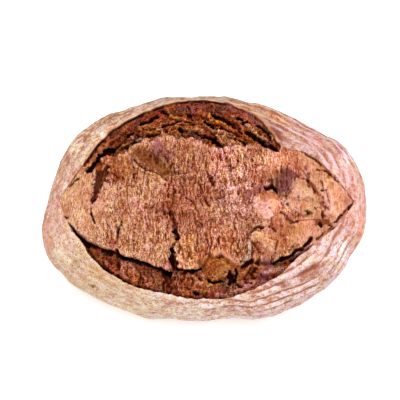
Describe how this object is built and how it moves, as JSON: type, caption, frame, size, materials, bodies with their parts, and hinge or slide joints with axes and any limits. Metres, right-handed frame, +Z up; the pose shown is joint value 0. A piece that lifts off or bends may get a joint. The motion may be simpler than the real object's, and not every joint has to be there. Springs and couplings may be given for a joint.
{
  "type": "buckwheat bread loaf",
  "caption": "Whole oval buckwheat loaf with a floured, ringed crust that tore open along its top over raised, craggy brown crumb.",
  "frame": {"origin": "middle of the loaf's box, on the surface that it stands on", "axes": "+X along the loaf to the end with the smooth sunken crumb, +Y to the back, where the groove is wide, +Z up"},
  "size_m": [0.2636, 0.1842, 0.0965],
  "materials": {
    "crust": "matt baked crust, dusted with flour, with bare brown torn crumb on top"
  },
  "bodies": {
    "root": {"loaf": "crust"}
  },
  "joints": []
}
